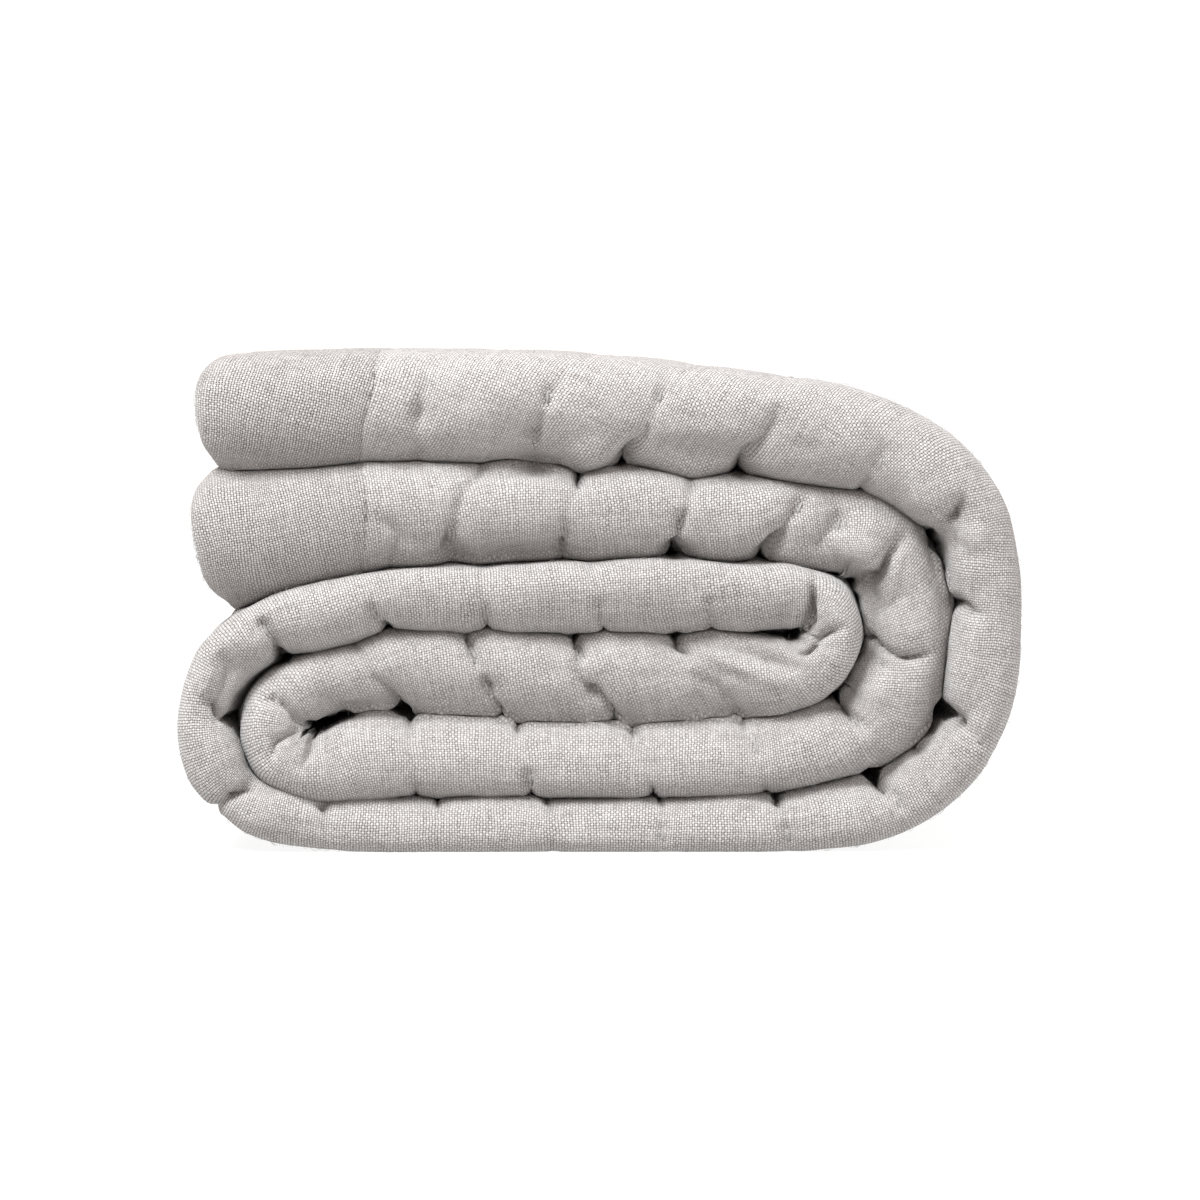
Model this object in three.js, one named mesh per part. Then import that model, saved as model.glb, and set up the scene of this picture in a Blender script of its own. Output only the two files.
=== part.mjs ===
// A linen quilt as it lies put away: folded in its width to a strip six layers thick, the strip
// doubled at its middle and then rolled up loosely, so that six bands of it lie on each other.
// Its quilted body is one solid, and the plain border at each end of the strip is sewn on.
// Millimetres, +Z up. The smooth folded edge faces -Y, and the lowest band rests on z = 0.
import * as THREE from "three";

// Driving dimensions
const DEPTH = 390; // the strip's width, from its front fold to its back edges
const BORDER = 82; // length of the plain border at each end of the strip
const PIECE_GAP = 0.3; // between the body and a border, at the seam
const CREASE = 4; // how far a line of stitches draws the cloth in
const PUFF = 0.6; // the lower, the flatter the top of a puff between two creases
const FACE_CREASE = 0.5; // share of a crease that is left on the faces that are pressed together
const OUTER_CREASE = 0.3; // share that is left on the outside of the roll, where the cloth is taut
const ROLL_OUTSIDE = 980; // length of the strip, from its upper end, that lies outside in the roll
const OUTSIDE_FADE = 60; // and the length over which its outer face turns into an inner one
const FRONT_FOLD = 0.85; // depth of the round front fold, in half thicknesses
const FRONT_POWER = 2.3; // 2 is an ellipse, more is blunter
const BACK_FOLD = 0.45; // depth of each of the two round back folds, in half thicknesses
const BACK_VALLEY = 0.75; // depth of the valley between the back folds, in half thicknesses
const TIP_ROUND = 17; // rounding of a border's free end
const SEAM_LEAN = 4; // how far the seams lean along the strip from edge to middle
const LEAN_REACH = 40; // and how far from the seam the lean dies away

// Fineness of the mesh
const FRONT_STEPS = 10;
const BACK_STEPS = 4; // for each of the two back folds
const FACE_STEPS = 2; // between the front fold and the back folds
const PUFF_STEPS = 4; // fewest steps from one crease to the next
const TURN_STEP = 0.24; // most that the strip turns in one step, in radians
const TIP_STEPS = 5;
const LINE_STEPS = 24; // steps of the middle line from one section to the next

// The strip's sections, from its upper free end to its inner free end. Columns: x and z of the
// middle line and the strip's thickness there.
const UPPER_RUN = [
  [-193.5, 210, 56],
  [-171, 210, 56.5],
  [-142.5, 211, 55.5],
  [-111, 213, 53],
  [-71, 213, 52.5],
  [-33, 214, 49.5],
  [5, 210.5, 51.5],
  [43, 207, 51],
  [78.5, 204, 50],
  [109, 199, 47.5],
];
const OUTER_RIGHT_BEND = [
  [137, 190, 42],
  [159, 176.5, 37.5],
  [175, 157.5, 34.5],
  [182, 134, 33],
  [183.5, 106.5, 32],
  [180.5, 77, 30.5],
  [171.5, 52.5, 29],
  [154.5, 34, 28.5],
  [131, 22, 29],
];
const FLOOR_RUN = [
  [102, 14.5, 28.5],
  [57, 12.5, 26.5],
  [0, 11.5, 25],
  [-57, 12, 26],
  [-104.5, 11.5, 25],
  [-140, 13.5, 26],
];
const OUTER_LEFT_BEND = [
  [-162.5, 19.5, 24],
  [-178.5, 32, 24.5],
  [-186, 51, 26],
  [-185.5, 71, 25.5],
  [-177, 90.5, 27],
  [-158.5, 105.5, 29],
];
const THIRD_RUN = [
  [-128, 114, 30.5],
  [-97.5, 119.5, 27.5],
  [-66.5, 120.5, 29.5],
  [-28.5, 121, 31],
  [24, 122, 33],
  [71, 122, 29.5],
];
const MIDDLE_FOLD = [
  [93.5, 119.5, 26.5],
  [104, 115, 24.5],
  [109, 105, 24],
  [107, 94.5, 24.5],
  [98, 87.5, 25.5],
  [86, 84, 31.5],
];
const FOURTH_RUN = [
  [64, 84.5, 39],
  [24, 83, 42.5],
  [-19, 82.5, 42],
  [-62, 85, 40.5],
  [-95, 86, 36.5],
  [-121, 82.5, 30],
];
const INNER_LEFT_BEND = [
  [-140.5, 78, 25],
  [-153, 70, 24.5],
  [-157, 58.5, 24],
  [-152.5, 48, 24],
  [-143.5, 42.5, 26],
  [-131, 41.5, 30.5],
];
const FIFTH_RUN = [
  [-115.5, 43.5, 37],
  [-76, 45, 36.5],
  [-19, 43, 33.5],
  [38, 43, 33.5],
  [83, 46.5, 34],
  [111.5, 54, 34.5],
];
const INNER_RIGHT_BEND = [
  [133, 67.5, 35],
  [146, 87.5, 38],
  [147, 111.5, 38],
  [141, 133.5, 38],
  [126.5, 147.5, 39],
];
const SECOND_RUN = [
  [100.5, 154.5, 39.5],
  [66.5, 158, 38.5],
  [28.5, 161, 39.5],
  [-5, 161, 43],
  [-38, 162.5, 48],
  [-76, 160.5, 47],
  [-111, 159, 50.5],
  [-142.5, 155.5, 53],
  [-171, 151.5, 58],
  [-194.5, 148, 58],
];
const SECTIONS = [
  UPPER_RUN,
  OUTER_RIGHT_BEND,
  FLOOR_RUN,
  OUTER_LEFT_BEND,
  THIRD_RUN,
  MIDDLE_FOLD,
  FOURTH_RUN,
  INNER_LEFT_BEND,
  FIFTH_RUN,
  INNER_RIGHT_BEND,
  SECOND_RUN,
].flat();

// The creases that the stitches draw across the strip, by distance from its upper end. Columns:
// first crease, spacing and count.
const CREASES = [
  [107, 55.5, 5], // upper run
  [379, 54, 3], // outer right bend
  [537, 54, 5], // floor run
  [803, 48, 4], // outer left bend
  [998, 53, 4], // third run
  [1204, 33, 2], // middle fold
  [1286, 54, 4], // fourth run
  [1500, 37, 2], // inner left bend
  [1590, 53.5, 4], // fifth run
  [1804, 48, 3], // inner right bend
  [1948, 51, 4], // second run
];

// Colour and finish
const LINEN = { color: 0xbdb8b2, roughness: 0.95, metalness: 0 };

// A smooth line through the sections, in fine steps, each with its distance along the line.
function middleLine(rows) {
  const spacing = rows.slice(1).map((row, i) => Math.hypot(row[0] - rows[i][0], row[1] - rows[i][1]));
  const slope = rows.map((row, i) =>
    row.map((value, k) => {
      const before = i > 0 ? (value - rows[i - 1][k]) / spacing[i - 1] : null;
      const after = i < rows.length - 1 ? (rows[i + 1][k] - value) / spacing[i] : null;
      if (before === null) return after;
      if (after === null) return before;
      return (before * spacing[i] + after * spacing[i - 1]) / (spacing[i - 1] + spacing[i]);
    }),
  );
  const line = [];
  for (let i = 0; i < spacing.length; i++) {
    const steps = i === spacing.length - 1 ? LINE_STEPS + 1 : LINE_STEPS;
    for (let step = 0; step < steps; step++) {
      const t = step / LINE_STEPS;
      const [x, z, thick] = rows[i].map(
        (value, k) =>
          value * (2 * t ** 3 - 3 * t ** 2 + 1) +
          slope[i][k] * spacing[i] * (t ** 3 - 2 * t ** 2 + t) +
          rows[i + 1][k] * (3 * t ** 2 - 2 * t ** 3) +
          slope[i + 1][k] * spacing[i] * (t ** 3 - t ** 2),
      );
      line.push({ x, z, thick, along: 0 });
    }
  }
  for (let i = 1; i < line.length; i++) {
    line[i].along = line[i - 1].along + Math.hypot(line[i].x - line[i - 1].x, line[i].z - line[i - 1].z);
  }
  for (let i = 0; i < line.length; i++) {
    const before = line[Math.max(i - 1, 0)];
    const after = line[Math.min(i + 1, line.length - 1)];
    line[i].heading = Math.atan2(after.z - before.z, after.x - before.x);
  }
  return line;
}

const LINE = middleLine(SECTIONS);
const LENGTH = LINE.at(-1).along;
const UPPER_SEAM = BORDER;
const INNER_SEAM = LENGTH - BORDER;
const CREASE_PLACES = CREASES.flatMap(([first, spacing, count]) =>
  Array.from({ length: count }, (_, i) => first + i * spacing),
);
// Where the cloth is drawn in: the seams and every crease.
const DRAWN_IN = [UPPER_SEAM, ...CREASE_PLACES, INNER_SEAM];

// The middle line's place, heading and thickness at a distance along it.
function sectionAt(along) {
  const next = Math.max(1, LINE.findIndex((point) => point.along >= along));
  const last = along >= LENGTH ? LINE.length - 1 : next;
  const [a, b] = [LINE[last - 1], LINE[last]];
  const t = THREE.MathUtils.clamp((along - a.along) / (b.along - a.along), 0, 1);
  const turn = Math.atan2(Math.sin(b.heading - a.heading), Math.cos(b.heading - a.heading));
  return {
    x: THREE.MathUtils.lerp(a.x, b.x, t),
    z: THREE.MathUtils.lerp(a.z, b.z, t),
    thick: THREE.MathUtils.lerp(a.thick, b.thick, t),
    heading: a.heading + turn * t,
  };
}

// How far the cloth is drawn in at a distance along the strip: most at a crease, nothing on a puff.
function drawnIn(along) {
  const next = DRAWN_IN.findIndex((place) => place > along);
  if (next < 1) {
    const toSeam = along < UPPER_SEAM ? UPPER_SEAM - along : along - INNER_SEAM;
    return CREASE * Math.max(0, 1 - toSeam / BORDER) ** 8;
  }
  const share = (along - DRAWN_IN[next - 1]) / (DRAWN_IN[next] - DRAWN_IN[next - 1]);
  return CREASE * (1 - Math.sin(Math.PI * share) ** PUFF);
}

// The share of a crease that shows on the strip's outer face at a distance along it.
function outerShare(along) {
  const inside = THREE.MathUtils.smoothstep(along, ROLL_OUTSIDE - OUTSIDE_FADE, ROLL_OUTSIDE);
  return THREE.MathUtils.lerp(OUTER_CREASE, 1, inside);
}

// A superellipse's two parts at an angle.
function rounded(angle, power) {
  const [c, s] = [Math.cos(angle), Math.sin(angle)];
  return [Math.max(0, c) ** (2 / power), Math.sign(s) * Math.abs(s) ** (2 / power)];
}

// The ring round the strip at one section, as pairs of depth (y) and distance from the middle
// line: down the front fold, back along the inner face, up the two back folds and forward again.
function ring(half, draw, outer, inset) {
  const full = half - inset;
  const drawOn = (side) => (side > 0 ? draw * outer : draw);
  const face = (side) => full - drawOn(side) * FACE_CREASE;
  const front = -DEPTH / 2 + inset + draw;
  const back = DEPTH / 2 - inset - draw;
  const foldDepth = FRONT_FOLD * full;
  const backDepth = BACK_FOLD * full;
  const valley = BACK_VALLEY * full;
  const points = [];
  for (let i = 0; i <= FRONT_STEPS; i++) {
    const [out, up] = rounded(Math.PI * (0.5 - i / FRONT_STEPS), FRONT_POWER);
    points.push([front + foldDepth * (1 - out), (full - drawOn(up)) * up]);
  }
  const faceStart = front + foldDepth;
  const faceEnd = back - backDepth;
  const across = (i) => THREE.MathUtils.lerp(faceStart, faceEnd, i / (FACE_STEPS + 1));
  for (let i = 1; i <= FACE_STEPS; i++) points.push([across(i), -face(-1)]);
  for (const side of [-1, 1]) {
    for (let i = side < 0 ? 0 : 1; i <= BACK_STEPS; i++) {
      const angle = Math.PI * (i / BACK_STEPS - 0.5);
      const inValley = side < 0 ? i > BACK_STEPS / 2 : i < BACK_STEPS / 2;
      const depth = inValley ? valley : backDepth;
      points.push([back - depth * (1 - Math.cos(angle)), (face(side) / 2) * (side + Math.sin(angle))]);
    }
  }
  for (let i = FACE_STEPS; i >= 1; i--) points.push([across(i), face(1)]);
  return points;
}

// The ring at a distance along the strip, placed in space. The floor stops it at z = 0.
function placedRing(along, inset = 0) {
  const { x, z, thick, heading } = sectionAt(along);
  const seam = along < LENGTH / 2 ? UPPER_SEAM : INNER_SEAM;
  const lean = SEAM_LEAN * Math.exp(-(((along - seam) / LEAN_REACH) ** 2));
  return ring(thick / 2, drawnIn(along), outerShare(along), inset).map(([y, n]) => {
    const shift = (lean * n) / (thick / 2);
    return new THREE.Vector3(
      x - n * Math.sin(heading) + shift * Math.cos(heading),
      y,
      Math.max(0, z + n * Math.cos(heading) + shift * Math.sin(heading)),
    );
  });
}

// A closed skin over a row of rings, with a flat cap at each end.
function skin(rings) {
  const around = rings[0].length;
  const middle = (points) =>
    points.reduce((sum, p) => sum.add(p), new THREE.Vector3()).divideScalar(around);
  const vertices = [...rings.flat(), middle(rings[0]), middle(rings.at(-1))];
  const firstCentre = rings.length * around;
  const faces = [];
  for (let r = 0; r < rings.length - 1; r++) {
    for (let i = 0; i < around; i++) {
      const [a, b] = [r * around + i, r * around + ((i + 1) % around)];
      faces.push(a, b, b + around, a, b + around, a + around);
    }
  }
  for (let i = 0; i < around; i++) {
    const last = (rings.length - 1) * around;
    faces.push(firstCentre, (i + 1) % around, i);
    faces.push(firstCentre + 1, last + i, last + ((i + 1) % around));
  }
  const geometry = new THREE.BufferGeometry().setFromPoints(vertices);
  geometry.setIndex(faces);
  geometry.computeVertexNormals();
  return geometry;
}

function piece(name, rings) {
  const mesh = new THREE.Mesh(skin(rings), new THREE.MeshStandardMaterial(LINEN));
  mesh.name = name;
  return mesh;
}

// Distances along the body where it gets a ring: finer where the strip turns.
function bodyPlaces() {
  const places = [];
  for (let i = 0; i < DRAWN_IN.length - 1; i++) {
    const [start, end] = [DRAWN_IN[i], DRAWN_IN[i + 1]];
    const inside = LINE.filter((point) => point.along >= start && point.along <= end);
    let turned = 0;
    for (let k = 1; k < inside.length; k++) {
      const turn = inside[k].heading - inside[k - 1].heading;
      turned += Math.abs(Math.atan2(Math.sin(turn), Math.cos(turn)));
    }
    const steps = Math.max(PUFF_STEPS, Math.ceil(turned / TURN_STEP));
    for (let k = 0; k < steps; k++) places.push(start + ((end - start) * k) / steps);
  }
  places[0] += PIECE_GAP / 2;
  places.push(INNER_SEAM - PIECE_GAP / 2);
  return places;
}

// Distances from the seam to a border's free end, with how far each ring is drawn in to round it.
function borderPlaces() {
  const straight = BORDER - TIP_ROUND;
  const places = [0.02, 0.1, 0.3, 0.6, 1].map((share) => [straight * share, 0]);
  for (let i = 1; i <= TIP_STEPS; i++) {
    const angle = (Math.PI / 2) * (i / TIP_STEPS);
    places.push([straight + TIP_ROUND * Math.sin(angle), TIP_ROUND * (1 - Math.cos(angle))]);
  }
  return [[PIECE_GAP / 2, 0], ...places];
}

function quiltedBody() {
  return piece("quilted_body", bodyPlaces().map((along) => placedRing(along)));
}

function upperBorder() {
  const rings = borderPlaces().map(([from, inset]) => placedRing(UPPER_SEAM - from, inset));
  return piece("border_top", rings.reverse());
}

function innerBorder() {
  return piece(
    "border_under",
    borderPlaces().map(([from, inset]) => placedRing(INNER_SEAM + from, inset)),
  );
}

const quilt = new THREE.Group();
quilt.add(quiltedBody(), upperBorder(), innerBorder());

export default quilt;
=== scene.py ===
"""A linen quilt, folded to a thick strip and rolled up loosely, seen at its smooth folded edges.

The strip's skin is worked out from the sections of its middle line: a round front fold, two long
faces and the layers' edges at the back. Creases, channels and stitches are laid on that skin.
Lengths are millimetres until a mesh is made, and -Y faces the viewer.
"""

import math

import bpy
import numpy as np
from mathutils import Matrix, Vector
from mathutils.bvhtree import BVHTree


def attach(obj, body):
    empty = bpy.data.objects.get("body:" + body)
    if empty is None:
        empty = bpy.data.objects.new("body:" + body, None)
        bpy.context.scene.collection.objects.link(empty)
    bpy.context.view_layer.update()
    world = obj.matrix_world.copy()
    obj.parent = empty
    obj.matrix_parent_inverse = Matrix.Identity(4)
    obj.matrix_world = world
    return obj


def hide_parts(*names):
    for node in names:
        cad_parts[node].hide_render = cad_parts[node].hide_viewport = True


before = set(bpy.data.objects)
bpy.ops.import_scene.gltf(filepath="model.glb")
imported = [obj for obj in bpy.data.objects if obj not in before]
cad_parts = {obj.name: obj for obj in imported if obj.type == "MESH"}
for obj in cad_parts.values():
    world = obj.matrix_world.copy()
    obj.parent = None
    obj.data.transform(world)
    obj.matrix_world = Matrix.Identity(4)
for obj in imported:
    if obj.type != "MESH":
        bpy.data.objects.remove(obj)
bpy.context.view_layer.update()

MM = 0.001

# Sizes of the folded strip, as in the frame
DEPTH = 390
BORDER = 82
FRONT_FOLD = 1.05  # depth of the front fold, in half thicknesses
FRONT_POWER = 2.2  # the higher, the squarer the front fold
FORWARD_REACH = 60  # its tilt and forward stand die away over this depth
SQUEEZE = 0.8  # how far two bands press into each other
SQUEEZE_HALF = 8  # a thinner band is pressed less
TIGHTEST = 0.78  # largest share of a bend's radius that the strip's half thickness takes
ROOMY = 0.5  # up to this share the skin can be moved freely
TIP_ROUND = 17
TIP_STEPS = 13
OUTSIDE_END = 980  # the strip's outer face lies outside in the roll up to here
OUTSIDE_FADE = 30
INSIDE = 30  # inset of the last ring of each piece
SHOWN = 3  # rings with more inset lie inside and stay plain

# The layers' edges at the back, by height in half thicknesses, and how they end
LAYER_EDGES = np.array([-1, -0.34, 0, 0.34, 1])
LAYER_DEPTH = 0.55
LAYER_POWER = 0.7
LAYER_INSET = 2
LAYER_STRAY = 2.5
LAYER_SCALE = 70
FACE_END = (0.62, 4.5)  # the faces' end before the back: share of half thickness, and more

# Fineness of the skin
STATION_STEP = 1.6
FRONT_COLUMNS = 41
OUTER_COLUMNS = 9
INNER_COLUMNS = 7
BACK_COLUMNS = 14
COLUMN_POWER = 1.25  # the columns of the faces lie closer together near the front
EDGE_COLUMNS = 12  # columns of the front fold next to each face, which swell with it

# Quilting
CHANNEL_REACH = 20  # half width of the soft valley along a line of stitches
CHANNEL_DEPTH = 1.6
CHANNEL_WINDOW = 95  # how far along the strip a channel can reach
CHANNEL_START = (14, 45)  # depth behind the front over which the channels begin
CHANNEL_LEAN = 0.13  # how far a line of stitches strays for its way across the strip
LEAN_END = 300  # length of the strip over which that lean dies away
LEAN_LEFT = 0.04
MEANDERS = ((6, 90, 11), (2, 31, 12))  # reach, size and seed
PUFF = 0.4
PUFF_POWER = 0.6
OUTSIDE_PUFF = 0.3  # share of it, and of the small folds, outside in the roll
OUTSIDE_FOLDS = 0.4
STITCH_PITCH = 24
STITCH_LENGTH = 9
STITCH_ENDS = (34, 32)  # the running stitches' distance from front and back
STITCH_STRAY = (3, 40, 21)
STITCH_SHIFT = 7
STITCH_LIFT = 0.45
STITCH_DIVE = 0.9
THREAD = 1.2
END_DIMPLE = (5, 1.5)  # radius and depth
MIDDLE_DIMPLE = (7, 1.2)

# Seams between the body and the borders
SEAM_LEANS = (5.5, 2.5)  # how far the upper and the inner seam lean
LEAN_REACH = 40
SEAM_REACH = 5
SEAM_DEPTH = 0.45
SEAM_RIDGE = 0.9  # height, width and place of the ridge along the inner seam
SEAM_WIDTH = 1.2
SEAM_PLACE = 0.3
SEAM_PUFF = 1.1  # how far the body rises towards that seam, and over what length
SEAM_PUFF_REACH = 9
BODY_END = 1.2  # the body's last shown ring lies this far from the seam
BODY_TURN = ((1.1, INSIDE), (1.1, 12), (1.05, 2), (0.8, 0.3), (0.3, 0.05))  # past it, and inset
BORDER_TUCK = 1.6  # how far the border runs on under the body
BORDER_INSETS = (INSIDE, 14, 4)
BORDER_FINE = (3, 0.35)  # the border's rings are closer together up to here: distance and step
BORDER_STEP = 1.4
BORDER_DIP = (0.6, 12)  # depth and reach of the border's fall towards the seam
BORDER_WAVE = (0.6, 26)
CAP_STEP = 0.8

# The grooves between the pressed layers at a free end: places in half thicknesses, depth and width
HEM_SHARES = (0.36, 0.68, 1)
HEM_DEPTH = 2.4
HEM_WIDTH = 1.6
HEM_START = (22, 46)

# Creases and small folds
CREASE_WINDOW = 48  # how far along the strip a crease can reach
CREASE_END = (35, 75)  # depth behind the front over which the creases die away
WIDE_REACH = 4  # width of a crease's soft part, in crease widths
SHARP_DEPTH = 1.1  # of the creases' sharp and soft parts, against the table's figures
SOFT_DEPTH = 1.3
SWELLING_END = 1.4  # a swelling's end, in reaches
VALLEY_POWER = 1.6
UNEVENNESS = ((0.6, 22, 1), (0.3, 9, 2))  # height, size and seed
WRINKLE = 0.6
WRINKLE_WIDTH = 0.3
WRINKLE_SCALE = 34
WRINKLE_PATCH = 60

# Faces closer than this swell until they touch, from a little behind the front to the back's round,
# but not on the inside of a tight bend nearer than BEND_REACH.
GAP_REACH = 7
GAP_LEFT = 0.05
GAP_START = (13, 30)
GAP_END = (165, 185)
BEND_REACH = 26

# Loose fibres on the front folds: length, how far they stand off, bow and thickness
FIBRES = 5200
FIBRE_LENGTH = (2, 6)
FIBRE_RISE = (0.2, 1.4)
FIBRE_ARCH = 2.6
FIBRE_SINK = 0.1
FIBRE_BOW = 0.5
FIBRE = 0.13

# Weave: pitch along the strip and across it, and where in the thickness a bend's length is taken
WEAVE_PITCH = (1.33, 1.19)
OUTER_RUN = 0.24  # from the middle line outwards
WEAVE_REACH = 55  # the weave is turned this far round the front fold and no further
WEAVE_STRAYS = ((320, 0.0007), (60, 0.0022), (17, 0.006))  # fineness and reach, in metres
SIDE_POWER = 1.4
FALL_ALONG = (0.48, 0.34)  # how low a thread's side lies where it is under and where it is over
FALL_ACROSS = (0.20, 0.34)
CORNER_FALL = 0.5
PILLOW_MEAN = 0.79  # average height of the woven surface, so that the painted shade keeps its mean
TONE_RUN = 0.06
FLECK = (0.62, 0.9)  # fineness and strength
CLOUD = (60, 0.15)
# painted light: how much lighter the threads that lie over are than those under, as if lit from one side
OVER_PAINTED_LIGHT = 0.4
FLECK_HEIGHT = 0.6
BUMP = 0.00035
SMOOTH_START = 6  # from here behind the front the weave's painted shade fades, so the pressed faces look smoother
SMOOTH_REACH = 16
SMOOTH_SHARE = 0.3

# Light thread and the dark between threads, which shows both dark holes and painted shade on the threads'
# low sides, then the strength of that painted shade
BODY_LINEN = ((0.319, 0.298, 0.286, 1), (0.053, 0.038, 0.031, 1), 1.85)
BORDER_LINEN = ((0.274, 0.254, 0.242, 1), (0.025, 0.019, 0.016, 1), 2.4)
DARKEST = (0.02, 0.018, 0.017)
LIGHTEST = (0.9, 0.9, 0.9)
THREAD_COLOUR = (0.31, 0.295, 0.28)

# Lights, in metres: place, aim, size and power
KEY = ((-0.85, -1.25, 1.95), (0, 0, 0.1), (1, 1), 109)
FILL = ((1.7, -0.9, 0.7), (0.1, 0, 0.1), (1.2, 1.2), 17)
KEY_WHITE = (0.95, 1, 1.03)
WARM_WHITE = (1.12, 1.03, 0.98)  # the dome, which the picture shows as plain white
ROOM_LIGHT = 0.54  # the dome in front of the quilt; behind it a lit white backdrop
BACKDROP_LIGHT = 1.04
BACKDROP_SHARE = (0.9, 0.5)  # how the backdrop takes over with depth: slope, and share at the side
FLOOR_SIZE = 40
FLOOR_COLOUR = (0.14, 0.14, 0.14, 1)
FLOOR_GLOW = 0.87

# The camera stands in front of the smooth folded edges, a little above them.
CAMERA = (0, -2995, 248)
AIM = (0, -195, 120.9)
VIEW_WIDTH = 570  # width of the picture at the front folds
SENSOR = 36

# The strip's sections from its upper free end to its inner one: x, z and thickness.
SECTIONS = [
    # upper run
    (-192.5, 208, 50), (-176, 210, 55), (-162, 210.5, 56), (-142.5, 211, 55.5), (-111, 213, 53),
    (-71, 213, 52.5), (-33, 214, 49.5), (5, 210.5, 51.5), (43, 207, 51), (78.5, 203.5, 48.5),
    (109, 199.5, 48.5),
    # outer right bend
    (138, 191.5, 45), (161, 178, 41), (176.5, 158.5, 37.5), (183, 134.5, 35), (184.5, 106.5, 34),
    (182, 76.5, 33), (173, 51.5, 31.5), (156, 32.5, 31.5), (132, 20.5, 31.5),
    # floor run
    (102, 14.5, 28.5), (57, 12.5, 26.5), (0, 11.5, 25), (-57, 12, 26), (-104.5, 11.5, 25),
    (-140, 15, 26),
    # outer left bend
    (-163.5, 21, 27), (-179.5, 33, 28), (-187, 51, 28.5), (-186.5, 71.5, 28), (-178.5, 91, 29.5),
    (-158.5, 105.5, 29),
    # third run
    (-128, 114, 30.5), (-97.5, 119.5, 27.5), (-66.5, 120.5, 29.5), (-28.5, 121, 31), (24, 122, 33),
    (71, 121.5, 30),
    # middle fold
    (93.5, 120.5, 29.5), (105, 116.5, 29), (110.5, 106, 28.5), (107.5, 95, 28), (98, 87, 31),
    (86, 84.5, 37),
    # fourth run
    (64, 85, 40.5), (24, 83, 42.5), (-19, 82.5, 42), (-62, 85, 40.5), (-95, 86, 36.5),
    (-121, 80.5, 33),
    # inner left bend
    (-139.5, 76, 30), (-151.5, 68.5, 30), (-155.5, 57.5, 30), (-152, 47, 30), (-143.5, 41.5, 31),
    (-131, 40.5, 33),
    # fifth run
    (-115.5, 43.5, 37), (-76, 45, 36.5), (-19, 43, 33.5), (38, 43, 33.5), (83, 46.5, 34),
    (111.5, 54, 34.5),
    # inner right bend
    (134, 66, 38), (142.5, 88.5, 45), (144, 111.5, 45), (138.5, 132.5, 43), (127, 148.5, 42),
    # second run
    (100.5, 154.5, 39.5), (66.5, 158, 38.5), (28.5, 161, 39.5), (-5, 161, 43), (-38, 162.5, 48),
    (-76, 160.5, 47), (-111, 159, 50.5), (-142.5, 154, 56), (-162, 151, 61), (-178, 149.5, 63),
    (-193.5, 147, 60),
]

# The front fold's place along the strip: distance from the upper end, how far its lower edge lies
# behind its upper one, and how far the whole fold stands forward.
FRONT_PLACES = [
    (0, 4, 0), (110, 4, 0), (140, 5, 5), (290, 5, 5.5), (330, 1, 2), (420, -1, -1), (540, -6, -2),
    (790, -6, -2), (860, 0, 0), (900, 1, 0), (980, 7, 1), (1180, 9, 1.5), (1240, 1, 1),
    (1300, 7, -5.5), (1480, 6, -5.5), (1540, -1, -1), (1600, -6, -4), (1800, -6, -4), (1860, 1, -6),
    (1930, 3, -5), (1960, 4, -1), (1990, 6, -1), (2095, 7, -1), (2115, 6, 0), (2200, 4, 0),
]

# How the weave lies in the front fold: distance from the strip's upper end, and its turn in degrees.
WEAVE_TURNS = [
    (0, -14), (82, -18), (160, -26), (360, -22), (420, -8), (560, 0), (700, -2), (900, 4),
    (1120, 4), (1240, 14), (1420, 14), (1560, 2), (1760, 0), (1840, 14), (1920, 18), (2040, 6),
    (2235, 2),
]

# Lines of stitches across the strip, by distance from its upper end: first, spacing and count.
CHANNELS = [
    (107, 55.5, 5),  # upper run
    (379, 54, 3),  # outer right bend
    (537, 54, 5),  # floor run
    (803, 48, 4),  # outer left bend
    (998, 53, 4),  # third run
    (1204, 33, 2),  # middle fold
    (1286, 54, 4),  # fourth run
    (1500, 37, 2),  # inner left bend
    (1590, 53.5, 4),  # fifth run
    (1804, 48, 3),  # inner right bend
    (1948, 51, 4),  # second run
]
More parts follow.
